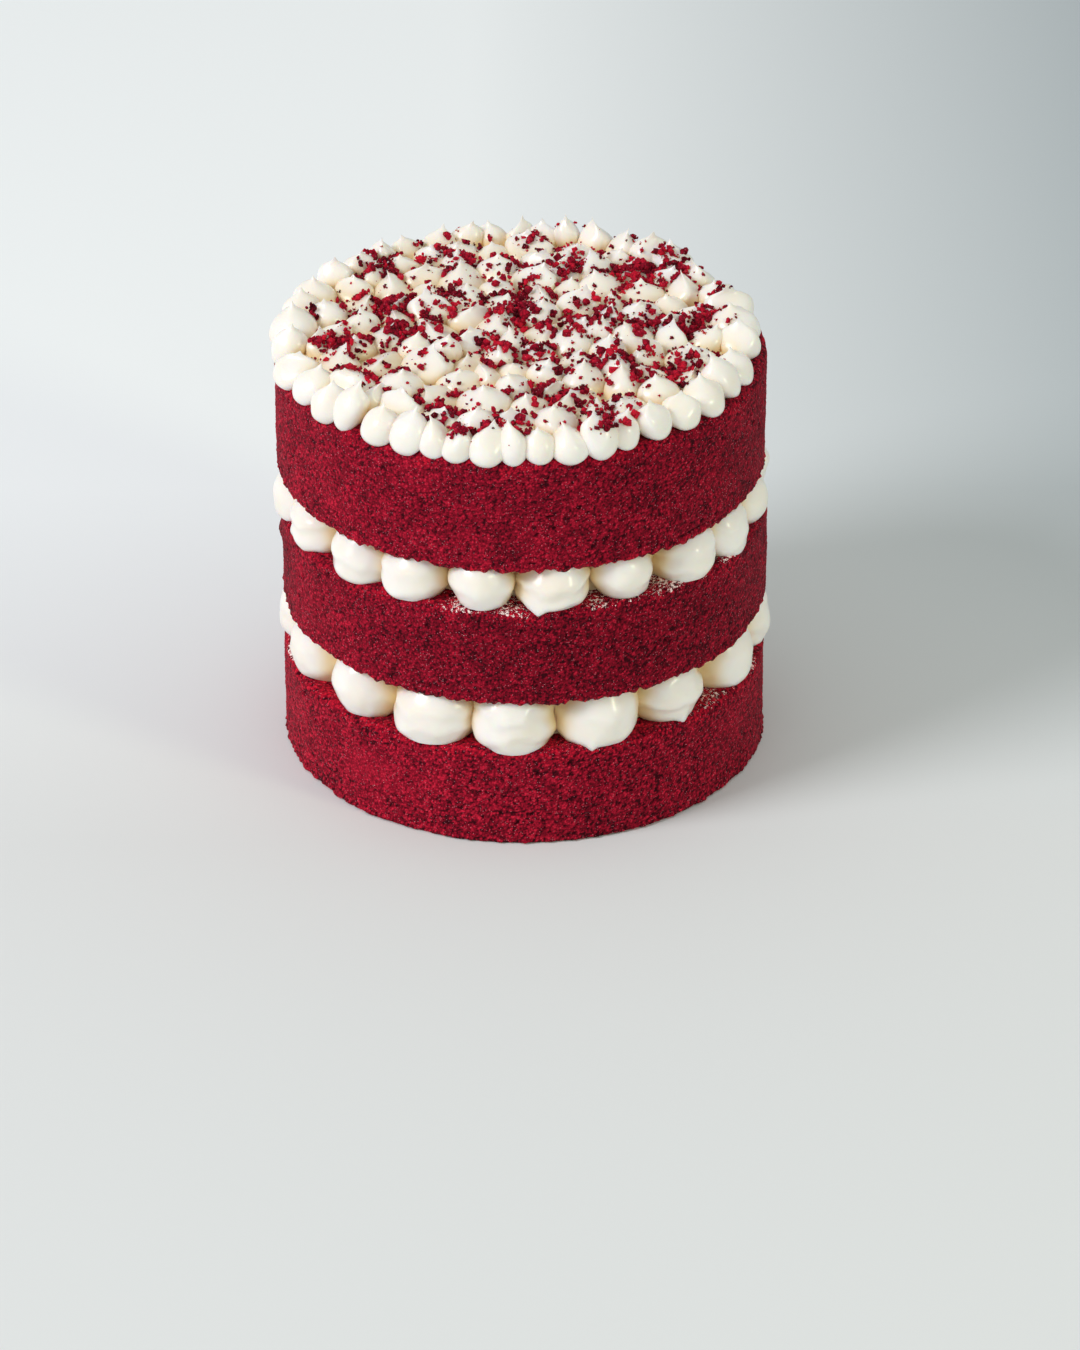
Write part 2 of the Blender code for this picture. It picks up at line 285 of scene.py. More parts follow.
CRUMB_DRIFT_SHIFT = 0.0025
CRUMB_BIT_SIZES = (0.0006, 0.0031)
CRUMB_SMALLNESS = 1.7
CRUMB_STRAYS = 720
CRUMB_STRAY_RADIUS = 0.087
CRUMB_STRAY_SIZES = (0.0006, 0.0022)
CRUMB_DUST = 850
CRUMB_DUST_SIZES = (0.00020, 0.00044)
CRUMB_DUST_TONES = (0.35, 1.0)
CRUMB_DUST_SPREAD = 0.004
CRUMB_SETTLE = 0.0022
CRUMB_SETTLE_TRIES = (0, 1, 2)
CRUMB_STEEPEST = 0.5

# Lumps of a clump: how many, how big and where they lie against its half size, and how light they are
CRUMB_CLUMP_LUMPS = 7
CRUMB_CLUMP_DETAIL = 2
CRUMB_BIT_LUMPS = (1, 2, 3)
CRUMB_BIT_DETAIL = 1
CRUMB_MIDDLE_LUMP = 0.75
CRUMB_LUMP_SIZES = (0.28, 0.55)
CRUMB_LUMP_OUT = (0.5, 1.15)
CRUMB_LUMP_RISE = (-0.2, 0.5)
CRUMB_TONES = (0.1, 0.95)
CRUMB_LUMP_TONES = (-0.25, 0.25)
CRUMB_KNOB_SEED = 13
CRUMB_KNOBS = (0.6, 1.3)
CRUMB_SQUASH = (0.65, 1.15)

# Real sizes that set the scales of the patterns in the materials
SPONGE_CELL = 0.0008
SPONGE_PATCH = 0.0125
WIPE_STREAK = 0.0016
CREAM_PATCH = 0.016
CREAM_DIMPLE = 0.004

# Painted highlights: glints on the crumb, really about 0.2 mm and too fine to show, so they are drawn
# coarser
PAINTED_GLINT_SIZE = 0.00065

# Colours of sponge: its gaps, its crumb, its crusts, and where it is torn and painted with bounce light
LAYER_COLOURS = ("#36040f", "#8c0c25", "#d4223e", "#dc162e")
CRUMB_COLOURS = ("#4a0612", "#96102a", "#d01c34", "#c01a30")

# Lights: (name, place, width, power, colour), aimed at the cake's middle, and the room round it
LIGHTS = (
    ("key", (-2.9, -1.5, 2.6), 1.6, 96.0, "#fffdfd"),
    ("fill", (1.9, -1.4, 1.1), 0.5, 12.0, "#f6fdd6"),
)
LIGHT_AIM = (0.0, 0.0, 0.1)
ROOM_COLOUR = "#f1f3f0"
ROOM_STRENGTH = 0.60
FLOOR_HALF_WIDTH = 4.0

# Turn between one thing and the next where they are laid out as a sunflower head
GOLDEN_ANGLE = math.pi * (3 - math.sqrt(5))

# Each piece's noise is read from its own place, up to this far off
NOISE_SHIFT = 50

# Angle between two faces above which the crease between them stays sharp
CREASE_ANGLE = math.radians(50)

# Clearance between neighbouring bodies, and the distance within which points of one body are merged
GAP = 0.0003
MERGE = 0.00001

# Heights of the faces between the bodies
CREAM_BASES = (SPONGE_HEIGHTS[0], sum(SPONGE_HEIGHTS[:2]) + FILLING_HEIGHTS[0])
SPONGE_BASES = (0.0, CREAM_BASES[0] + FILLING_HEIGHTS[0], CREAM_BASES[1] + FILLING_HEIGHTS[1])
TOP_FACE = SPONGE_BASES[2] + SPONGE_HEIGHTS[2]


def clear_new_file():
    """Removes what a new file holds besides the frame."""
    for name in ("Cube", "Light", "Camera"):
        if name in bpy.data.objects:
            bpy.data.objects.remove(bpy.data.objects[name])


def set_camera():
    """A long lens in front of the cake and above it."""
    data = bpy.data.cameras.new("camera")
    data.sensor_width = CAMERA_SENSOR
    data.lens = CAMERA_LENS
    data.clip_end = CAMERA_REACH
    camera = bpy.data.objects.new("camera", data)
    bpy.context.scene.collection.objects.link(camera)
    camera.location = CAMERA_PLACE
    camera.rotation_euler = (math.radians(90) - CAMERA_DOWN, CAMERA_ROLL, 0.0)
    bpy.context.scene.camera = camera


def srgb(code):
    """Linear colour of an sRGB hex value."""
    channels = [int(code[place:place + 2], 16) / 255 for place in (1, 3, 5)]
    linear = [value / 12.92 if value <= 0.04045 else ((value + 0.055) / 1.055) ** 2.4 for value in channels]
    return (*linear, 1.0)


def smooth(low, high, value):
    """Runs softly from 0 at low to 1 at high."""
    share = min(max((value - low) / (high - low), 0.0), 1.0)
    return share * share * (3 - 2 * share)


def curve_through(points, count):
    """Points spaced along a smooth curve through a few (level, share) points."""
    ends = [points[0]] + list(points) + [points[-1]]
    made = []
    for number in range(count + 1):
        along = number / count * (len(points) - 1)
        first = min(int(along), len(points) - 2)
        part = along - first
        before, start, stop, after = (Vector(point) for point in ends[first:first + 4])
        bend = (stop - before) * part + (2 * before - 5 * start + 4 * stop - after) * part ** 2
        bend += (3 * start - before - 3 * stop + after) * part ** 3
        made.append(tuple(start + bend / 2))
    return made


def turned(outline, steps):
    """A bmesh turned about Z from (radius, height) points that start and end on the axis."""
    bm = bmesh.new()
    points = [bm.verts.new((radius, 0.0, height)) for radius, height in outline]
    edges = [bm.edges.new(pair) for pair in zip(points, points[1:])]
    bmesh.ops.spin(
        bm,
        geom=points + edges,
        cent=(0, 0, 0),
        axis=(0, 0, 1),
        angle=2 * math.pi,
        steps=steps,
        use_merge=True,
    )
    bmesh.ops.remove_doubles(bm, verts=bm.verts, dist=MERGE)
    bmesh.ops.recalc_face_normals(bm, faces=bm.faces)
    bm.normal_update()
    return bm


def wrapped(outline, steps):
    """As turned, from a grid rolled up round Z, which is quicker where the steps are many."""
    bm = bmesh.new()
    rows = len(outline) - 1
    bmesh.ops.create_grid(bm, x_segments=steps, y_segments=rows, size=1.0)
    for vert in bm.verts:
        angle = math.pi * vert.co.x
        radius, height = outline[round((vert.co.y + 1) / 2 * rows)]
        vert.co = (radius * math.sin(angle), -radius * math.cos(angle), height)
    bmesh.ops.remove_doubles(bm, verts=bm.verts, dist=MERGE)
    bmesh.ops.recalc_face_normals(bm, faces=bm.faces)
    bm.normal_update()
    return bm


def disc(radius, thickness, steps):
    """A bmesh of a flat round."""
    return turned([(0, 0), (radius, 0), (radius, thickness), (0, thickness)], steps)


def piped_outline(shape, rings, half_width, height):
    """Half of a piped form's section, from few (level, share) points, closed on the axis at both ends."""
    side = [(half_width * share, height * level) for level, share in curve_through(shape, rings)]
    return [(0.0, 0.0)] + side + [(0.0, height)]


def add_piece(name, bm, finish):
    """A smooth-shaded object that holds the bmesh, which is freed."""
    mesh = bpy.data.meshes.new(name)
    bm.to_mesh(mesh)
    bm.free()
    mesh.materials.append(finish)
    mesh.shade_smooth()
    piece = bpy.data.objects.new(name, mesh)
    bpy.context.scene.collection.objects.link(piece)
    return piece


def fused(body, others):
    """Joins bodies that overlap into the first one, and removes the others."""
    pieces = bpy.data.collections.new(body.name + "_pieces")
    bpy.context.scene.collection.children.link(pieces)
    for other in others:
        pieces.objects.link(other)
    join = body.modifiers.new("join", "BOOLEAN")
    join.operation = "UNION"
    join.solver = "MANIFOLD"
    join.operand_type = "COLLECTION"
    join.collection = pieces
    bpy.context.view_layer.update()
    graph = bpy.context.evaluated_depsgraph_get()
    whole = bpy.data.meshes.new_from_object(body.evaluated_get(graph))
    body.modifiers.clear()
    body.data = whole
    for other in others:
        bpy.data.objects.remove(other)
    bpy.data.collections.remove(pieces)


def sponge_outline(height):
    """Half of a layer's section: coarse where cream hides it, fine on the wall and its rounded edge."""
    foot = SPONGE_FOOT_ROUND
    shoulder = SPONGE_TOP_ROUND
    hidden = SPONGE_RADIUS - SPONGE_HIDDEN_INSET
    outline = [(0.0, 0.0), (hidden / 2, 0.0), (hidden, 0.0)]
    under = SPONGE_HIDDEN_INSET - foot
    steps = round(under / SPONGE_RING / 2)
    outline += [(hidden + under * step / steps, 0.0) for step in range(1, steps + 1)]
    wall = height - foot - shoulder
    steps = round(wall / SPONGE_RING)
    outline += [(SPONGE_RADIUS, foot + wall * step / steps) for step in range(steps + 1)]
    for step in range(1, SPONGE_ROUND_RINGS + 1):
        angle = math.pi / 2 * step / SPONGE_ROUND_RINGS
        radius = SPONGE_RADIUS - shoulder * (1 - math.cos(angle))
        outline.append((radius, height - shoulder * (1 - math.sin(angle))))
    over = SPONGE_HIDDEN_INSET - shoulder
    steps = round(over / SPONGE_RING)
    outline += [(SPONGE_RADIUS - shoulder - over * step / steps, height) for step in range(1, steps + 1)]
    return outline + [(hidden / 2, height), (0.0, height)]


def sponge_relief(place):
    """(how far the wall stands out, how light its crumb is, with painted shade in pits) at a place on a
    layer.
    """
    span, height = SPONGE_LUMPS
    out = noise.noise(place / span) * height
    span, height = SPONGE_GRAINS
    near, _ = noise.voronoi(place / span)
    grain = SPONGE_GRAIN_LEVEL - near[0]
    out += grain * height
    span, height = SPONGE_FINE_GRAINS
    fine = noise.noise(place / span)
    out += fine * height
    span, height = SPONGE_PITS
    pit = smooth(*SPONGE_PIT_SHARES, noise.noise(place / span + Vector(SPONGE_PIT_SHIFT)))
    out -= pit * height
    return out, SPONGE_MIDDLE_TONE + grain + fine * SPONGE_FINE_TONE - pit * SPONGE_PIT_PAINTED_SHADE


def marked(number, place):
    """(how far out, how much lighter, how much smoother) the marks make a layer's wall at a place."""
    around = math.degrees(math.atan2(place.x, -place.y))
    out = lighter = smoother = 0.0
    for layer, degrees, height, width, tall, stands, tone, even in SPONGE_MARKS:
        if layer != number:
            continue
        aside = math.radians((around - degrees + 180) % 360 - 180) * SPONGE_RADIUS
        weight = math.exp(-(aside / width) ** 2 - ((place.z - height) / tall) ** 2)
        out += stands * weight
        lighter += tone * weight
        smoother += even * weight
    return out, lighter, smoother


def wiped(number, place):
    """How much cream is wiped on a layer's top edge at a place."""
    around = math.degrees(math.atan2(place.x, -place.y))
    strength = 0.0
    for layer, degrees, width, share in CREAM_WIPES:
        if layer == number:
            apart = (around - degrees + 180) % 360 - 180
            strength = max(strength, share * math.exp(-(apart / width) ** 2))
    return strength


def sponge(number, finish):
    """One sponge layer with an open crumb, torn at its lower edge where it stands on cream."""
    height = SPONGE_HEIGHTS[number]
    bm = wrapped(sponge_outline(height), SPONGE_STEPS)
    light = bm.verts.layers.float.new("light")
    torn = bm.verts.layers.float.new("torn")
    smeared = bm.verts.layers.float.new("smeared")
    apart = Vector((number * SPONGE_NOISE_STEP, 0.0, 0.0))
    hidden = SPONGE_RADIUS - SPONGE_HIDDEN_INSET
    places = [vert.co.copy() for vert in bm.verts]
    normals = [vert.normal.copy() for vert in bm.verts]
    for vert, place, normal in zip(bm.verts, places, normals):
        radius = math.hypot(place.x, place.y)
        if radius < hidden - MERGE:
            continue
        grown = 1 + noise.noise(place / SPONGE_UNEVEN_SPAN + apart) * SPONGE_UNEVEN / radius
        spread = smooth(hidden, hidden + SPONGE_HIDDEN_BLEND, radius)
        out, shade = sponge_relief(place + apart)
        stands, lighter, smoother = marked(number, place)
        out = out * (1 - smoother) + stands
        shade = SPONGE_CONTRASTS[number] * (shade - SPONGE_MIDDLE_TONE) * (1 - smoother) + lighter
        foot = 1 - smooth(0.0, TORN_FOOT_HEIGHT, place.z)
        ragged = noise.noise(place / TORN_FOOT_SPAN + apart * 2)
        if radius > SPONGE_RADIUS - 2 * SPONGE_FOOT_ROUND:
            out += foot * max(0.0, ragged + TORN_FOOT_FULLNESS) * TORN_FOOT_BULGES[number]
        vert.co.x *= grown
        vert.co.y *= grown
        vert.co += normal * out * spread
        if number == 0:
            vert.co.z = 0.0 if place.z < MERGE else max(vert.co.z, 0.0)
        elif radius > SPONGE_RADIUS - 4 * SPONGE_FOOT_ROUND:
            vert.co.z += foot * max(0.0, -TORN_FOOT_BITE_START - ragged) * TORN_FOOT_BITE
        # Painted light: the left side is painted lighter and the right side darker, as the light falls from
        # the left
        side = SPONGE_PAINTED_SIDE_LIGHT * place.x / SPONGE_RADIUS
        vert[light] = SPONGE_MIDDLE_TONE + shade + SPONGE_TONES[number] - side
        patch = noise.noise(place / PATCH_SPAN + apart)
        if number > 0:
            vert[torn] = smooth(0.0, TORN_FOOT_FULL, foot * (TORN_FOOT_SHARE + ragged))
        # Painted light: a brighter band along the top edge stands in for light bounced from the cream
        top = smooth(height - BOUNCE_BAND_HEIGHT, height - BOUNCE_BAND_END, place.z + patch * BOUNCE_BAND_STRAY)
        vert[torn] = max(vert[torn], top * BOUNCE_BAND_SHARE)
        rim = smooth(height - WIPE_HEIGHT, height - WIPE_END, place.z + patch * WIPE_STRAY)
        vert[smeared] = rim * wiped(number, place) if rim > 0 else 0.0
    x, y = SPONGE_SHIFTS[number]
    bmesh.ops.translate(bm, verts=bm.verts, vec=(x, y, SPONGE_BASES[number]))
    piece = add_piece(SPONGE_NODES[number] + "_crumb", bm, finish)
    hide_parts(SPONGE_NODES[number])
    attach(piece, "root")


def dollops(number):
    """(angle, distance out, half width) of each dollop in a filling's ring."""
    rng = random.Random(DOLLOP_SEEDS[number])
    count = DOLLOP_COUNTS[number]
    middle_radius = DOLLOP_REACH / (1 + math.pi / count * DOLLOP_OVERLAP)
    even_width = middle_radius * math.pi / count * DOLLOP_OVERLAP
    for index in range(count):
        step = index + rng.uniform(-DOLLOP_DRIFT, DOLLOP_DRIFT)
        half_width = even_width * rng.uniform(*DOLLOP_SIZES)
        distance = DOLLOP_REACH - half_width + rng.uniform(*DOLLOP_STRAY)
        yield DOLLOP_STARTS[number] + 2 * math.pi * step / count, distance, half_width


def dollop_body(angle, distance, half_width, tuck, height, base, rng, finish):
    """One dollop, pressed flat above and below, that sags a little over the edge it lies on."""
    bm = turned(piped_outline(DOLLOP_OUTLINE, DOLLOP_RINGS, half_width, height), DOLLOP_STEPS)
    lean = rng.uniform(-DOLLOP_LEAN, DOLLOP_LEAN)
    sag = DOLLOP_SAG * rng.uniform(*DOLLOP_SAG_SHARES) * (DOLLOP_TUCK_SAG if tuck else 1.0)
    wave = rng.uniform(0, 2 * math.pi)
    fold_depth = rng.choice(DOLLOP_FOLDS)
    apart = Vector((rng.uniform(0, NOISE_SHIFT), 0.0, 0.0))
    for vert in bm.verts:
        level = vert.co.z / height
        around = math.atan2(vert.co.x, -vert.co.y)
        radius = math.hypot(vert.co.x, vert.co.y)
        swell = 1 + DOLLOP_OVAL * math.sin(2 * around + wave)
        swell += DOLLOP_LUMPS * noise.noise(vert.co / DOLLOP_LUMP_SPAN + apart)
        swell += DOLLOP_DENTS * noise.noise(vert.co / DOLLOP_DENT_SPAN - apart)
        wander = DOLLOP_FOLD_WANDER * noise.noise(vert.co / DOLLOP_FOLD_SPAN + apart)
        fold = fold_depth * math.sin(level * DOLLOP_FOLD_TURNS + wander + wave)
        swell += fold / half_width * smooth(DOLLOP_FOLD_START, 1.0, radius / half_width)
        swell -= tuck * (1 - smooth(0.0, DOLLOP_TUCK_HEIGHT, level))
        vert.co.x = vert.co.x * swell + lean * level
        vert.co.y *= swell
        outward = smooth(DOLLOP_SAG_START, 1.0, -vert.co.y / half_width)
        vert.co.z -= outward * sag * (1 - smooth(0.0, DOLLOP_SAG_TOP, level))
    turn = Matrix.Rotation(angle, 4, "Z")
    place = Matrix.Translation((distance * math.sin(angle), -distance * math.cos(angle), base))
    bmesh.ops.transform(bm, matrix=place @ turn, verts=bm.verts)
    return add_piece("dollop", bm, finish)


def filling(number, finish):
    """A filling: a core that runs through the cake and the ring of dollops that shows round it."""
    height = FILLING_HEIGHTS[number] - 2 * GAP
    base = CREAM_BASES[number] + GAP
    core = disc(DOLLOP_REACH - CORE_INSET, height, CORE_STEPS)
    bmesh.ops.translate(core, verts=core.verts, vec=(0, 0, base))
    body = add_piece(FILLING_NODES[number] + "_piped", core, finish)
    rng = random.Random(DOLLOP_SHAPE_SEEDS[number])
    tucks = {index: tuck for ring, index, tuck in DOLLOP_TUCKS if ring == number}
    pieces = [
        dollop_body(*dollop, tucks.get(index, 0.0), height, base, rng, finish)
        for index, dollop in enumerate(dollops(number))
    ]
    fused(body, pieces)
    pull_tails(body, number)
    mark_crevice_shade(body, lambda place: smooth(*DOLLOP_SHADE_DEPTHS, DOLLOP_REACH - place.xy.length))
    finish_cream(body, FILLING_NODES[number])


def pull_tails(body, number):
    """Draws the small tails that the nozzle left, out and down from a filling's lower edge."""
    base = CREAM_BASES[number]
    for ring, degrees, reach, width in CREAM_TAILS:
        if ring != number:
            continue
        angle = math.radians(degrees)
        out = Vector((math.sin(angle), -math.cos(angle), 0.0))
        for vert in body.data.vertices:
            ahead = vert.co.dot(out)
            aside = (vert.co - out * ahead).xy.length
            if ahead < CREAM_TAIL_ROOT:
                continue
            low = 1 - smooth(0.0, CREAM_TAIL_HEIGHT, vert.co.z - base)
            pull = reach * math.exp(-(aside / width) ** 2) * low
            vert.co += out * pull * CREAM_TAIL_OUT
            vert.co.z -= pull


def mark_crevice_shade(body, depth_of):
    """Stores how deep each point lies between its neighbours, for painted shade on the cream there."""
    hollow = body.data.attributes.new("hollow", "FLOAT", "POINT")
    hollow.data.foreach_set("value", [depth_of(vert.co) for vert in body.data.vertices])


def finish_cream(body, node):
    """Smooths a cream piece's shading and puts it in its node's place."""
    body.data.shade_smooth()
    body.data.set_sharp_from_angle(angle=CREASE_ANGLE)
    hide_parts(node)
    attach(body, "root")


def rim_kisses(rng):
    """[place, radius, height, pull of the tip, outline] of each kiss in the rim row, smaller and closer
    together at the front and the back."""
    kisses = []
    for index in range(RIM_KISSES):
        even = 2 * math.pi * (index + rng.uniform(-RIM_KISS_DRIFT, RIM_KISS_DRIFT)) / RIM_KISSES
        angle = even - RIM_KISS_BUNCHING * math.sin(2 * even)
        out = Vector((math.sin(angle), -math.cos(angle)))
        radius = rng.uniform(*RIM_KISS_SIZES) * (1 - RIM_KISS_BUNCHING * math.cos(2 * even))
        height = rng.uniform(*RIM_KISS_HEIGHTS)
        sideways = Vector((-out.y, out.x)) * rng.uniform(-RIM_KISS_SWAY, RIM_KISS_SWAY)
        place = out * (RIM_RADIUS + rng.uniform(-RIM_KISS_STRAY, RIM_KISS_STRAY))
        pull = sideways - out * rng.uniform(*RIM_KISS_PULL)
        kisses.append([place, radius, height, pull, RIM_KISS_OUTLINE])
    return kisses


def field_kisses(rng):
    """The same of each kiss inside the rim row, laid out as a sunflower head."""
    kisses = []
    for index in range(FIELD_KISSES):
        distance = FIELD_SPREAD * math.sqrt((index + 0.5) / FIELD_KISSES)
        turn = index * GOLDEN_ANGLE
        place = Vector((math.cos(turn), math.sin(turn))) * distance
        place.x += rng.uniform(-FIELD_KISS_STRAY, FIELD_KISS_STRAY)
        place.y += rng.uniform(-FIELD_KISS_STRAY, FIELD_KISS_STRAY)
        radius = rng.uniform(*FIELD_KISS_SIZES)
        if index % LARGE_KISS_EVERY == 1:
            radius = LARGE_KISS_SIZE
        height = rng.uniform(*FIELD_KISS_HEIGHTS)
        heading = rng.uniform(0, 2 * math.pi)
        pull = Vector((math.cos(heading), math.sin(heading))) * FIELD_KISS_PULL * rng.random()
        kisses.append([place, radius, height, pull, FIELD_KISS_OUTLINE])
    return kisses


def packed_kisses():
    """All the kisses, with those inside the rim row pushed apart until they lie evenly close."""
    rng = random.Random(KISS_SEED)
    rim = rim_kisses(rng)
    field = field_kisses(rng)
    for _ in range(PACKING_ROUNDS):
        for kiss in field:
            push = Vector((0.0, 0.0))
            for other in rim + field:
                apart = kiss[0] - other[0]
                overlap = (kiss[1] + other[1]) * PACKING_CLOSENESS - apart.length
                if other is not kiss and overlap > 0:
                    push += apart.normalized() * overlap * PACKING_PUSH
            kiss[0] = kiss[0] + push
            if kiss[0].length > FIELD_RADIUS:
                kiss[0] = kiss[0].normalized() * FIELD_RADIUS
    return rim + field


def kiss_body(kiss, middle, rng, finish):
    """One kiss: a bulb drawn up to a tip that leans by its pull, some of them flattened to a sail."""
    place, radius, height, pull, shape = kiss
    bm = turned(piped_outline(shape, KISS_RINGS, radius, height), KISS_STEPS)
    wave = rng.uniform(0, 2 * math.pi)
    heading = rng.uniform(0, 2 * math.pi)
    flat = rng.choice(KISS_FLATNESS)
    curl = rng.uniform(0.0, KISS_CURL)
    apart = Vector((rng.uniform(0, NOISE_SHIFT), 0.0, 0.0))
    ridge = rng.choice(KISS_RIDGES)
    across = Vector((math.cos(heading), math.sin(heading)))
    along = Vector((-across.y, across.x))
    for vert in bm.verts:
        level = vert.co.z / height
        around = math.atan2(vert.co.y, vert.co.x)
        swell = 1 + KISS_OVAL * math.sin(2 * around + wave)
        swell += KISS_LUMPS * noise.noise(vert.co / KISS_LUMP_SPAN + apart)
        beside = (around - heading + math.pi + level) % (2 * math.pi) - math.pi
        swell += ridge * math.exp(-(beside / KISS_RIDGE_WIDTH) ** 2) * smooth(*KISS_RIDGE_LEVELS, level)
        point = Vector((vert.co.x, vert.co.y)) * swell
        pinch = flat * smooth(*KISS_FLAT_LEVELS, level)
        narrow = across * point.dot(across) * (1 - pinch)
        point = narrow + along * point.dot(along) * (1 + KISS_WIDENING * pinch)
        point += pull * level ** 2 + across * curl * smooth(*KISS_CURL_LEVELS, level)
        vert.co.xy = point
    bmesh.ops.translate(bm, verts=bm.verts, vec=middle + Vector((place.x, place.y, 0.0)))
    for vert in bm.verts:
        distance = math.hypot(vert.co.x - SPONGE_SHIFTS[2][0], vert.co.y - SPONGE_SHIFTS[2][1])
        level = (vert.co.z - middle.z) / height
        sag = RIM_SAG * smooth(RIM_SAG_START, RIM_SAG_START + RIM_SAG_SPAN, distance)
        vert.co.z -= sag * (1 - smooth(*RIM_SAG_LEVELS, level))
    return add_piece("kiss", bm, finish)


def kiss_crevice_shade(place):
    """How much painted shade a place gets deep between the kisses, and none on the open side of the rim row.
    """
    start = RIM_RADIUS - KISS_SHADE_BLEND
    inside = 1 - smooth(start, RIM_RADIUS + KISS_SHADE_BLEND, place.xy.length)
    return inside * (1 - smooth(*KISS_SHADE_HEIGHTS, place.z))


def topping(finish):
    """The piped top: a smear of cream and the kisses on it."""
    middle = Vector((*PIPING_SHIFT, TOP_FACE + GAP))
    smear = disc(SMEAR_RADIUS, SMEAR_THICKNESS, SMEAR_STEPS)
    bmesh.ops.translate(smear, verts=smear.verts, vec=middle)
    body = add_piece("piped_top_kisses", smear, finish)
    rng = random.Random(KISS_SHAPE_SEED)
    fused(body, [kiss_body(kiss, middle, rng, finish) for kiss in packed_kisses()])
    mark_crevice_shade(body, lambda place: kiss_crevice_shade(place - middle))
    finish_cream(body, "piped_top")
    return body


def surface_of(body):
    """A tree of a body's faces, on which crumbs can land."""
    corners = [vert.co for vert in body.data.vertices]
    return BVHTree.FromPolygons(corners, [face.vertices for face in body.data.polygons])


def landing(cream, x, y):
    """Where a crumb that falls on the piped top comes down, and the way the cream faces there."""
    hit, normal, _, _ = cream.ray_cast(Vector((x, y, TOP_FACE + SPONGE_RADIUS)), Vector((0, 0, -1)))
    return hit, normal


def settled(cream, x, y, rng, tries):
    """The lowest of a few landings close together, as a crumb rolls into the dips."""
    best = landing(cream, x, y)
    for _ in range(tries):
        other = landing(cream, x + rng.gauss(0, CRUMB_SETTLE), y + rng.gauss(0, CRUMB_SETTLE))
        if best[0] is None or other[0] is not None and other[0].z < best[0].z:
            best = other
    return best


def clump(hit, normal, size, lumps, rng):
    """(place, half size, lightness) of each lump of a ragged clump: a middle one and others on it."""
    sideways = normal.orthogonal().normalized()
    other = normal.cross(sideways)
    middle = hit + normal * size * CRUMB_SUNK
    shade = rng.uniform(*CRUMB_TONES)
    made = [(middle, size * CRUMB_MIDDLE_LUMP, shade)]
    for _ in range(lumps):
        turn = rng.uniform(0, 2 * math.pi)
        out = (sideways * math.cos(turn) + other * math.sin(turn)) * size * rng.uniform(*CRUMB_LUMP_OUT)
        place = middle + out + normal * size * rng.uniform(*CRUMB_LUMP_RISE)
        half_size = size * rng.uniform(*CRUMB_LUMP_SIZES)
        made.append((place, half_size, shade + rng.uniform(*CRUMB_LUMP_TONES)))
    return made


def crumb_clumps():
    """(x, y, half size) of each clump of crumb, strewn over the whole top."""
    rng = random.Random(CRUMB_PLACE_SEED)
    for index in range(CRUMB_CLUMPS):
        distance = CRUMB_FIELD_RADIUS * math.sqrt((index + 0.5) / CRUMB_CLUMPS)
        angle = CRUMB_START + index * GOLDEN_ANGLE
        x = distance * math.cos(angle) + rng.uniform(-CRUMB_STRAY, CRUMB_STRAY)
        y = distance * math.sin(angle) + rng.uniform(-CRUMB_STRAY, CRUMB_STRAY)
        yield x, y, rng.uniform(*CRUMB_SIZES)


def crumb_piece(name, lumps, detail, finish):
    """Knobbly lumps as one piece: copies of one ball, made in arrays because there are thousands of them."""
    ball = bmesh.new()
    bmesh.ops.create_icosphere(ball, subdivisions=detail, radius=1.0)
    points = np.array([vert.co for vert in ball.verts])
    faces = np.array([[vert.index for vert in face.verts] for face in ball.faces])
    ball.free()
    rng = np.random.default_rng(CRUMB_KNOB_SEED)
    places = np.array([place for place, _, _ in lumps])
    sizes = np.array([size for _, size, _ in lumps])
    knobs = rng.uniform(*CRUMB_KNOBS, (len(lumps), len(points), 1))
    squash = rng.uniform(*CRUMB_SQUASH, (len(lumps), 1, 3))
    corners = points[None] * knobs * squash * sizes[:, None, None] + places[:, None]
    order = faces[None] + len(points) * np.arange(len(lumps))[:, None, None]
    mesh = bpy.data.meshes.new(name)
    mesh.from_pydata(corners.reshape(-1, 3), [], order.reshape(-1, 3))
    light = mesh.attributes.new("light", "FLOAT", "POINT")
    light.data.foreach_set("value", np.repeat([shade for _, _, shade in lumps], len(points)))
    mesh.materials.append(finish)
    mesh.shade_flat()
    piece = bpy.data.objects.new(name, mesh)
    bpy.context.scene.collection.objects.link(piece)
    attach(piece, "root")


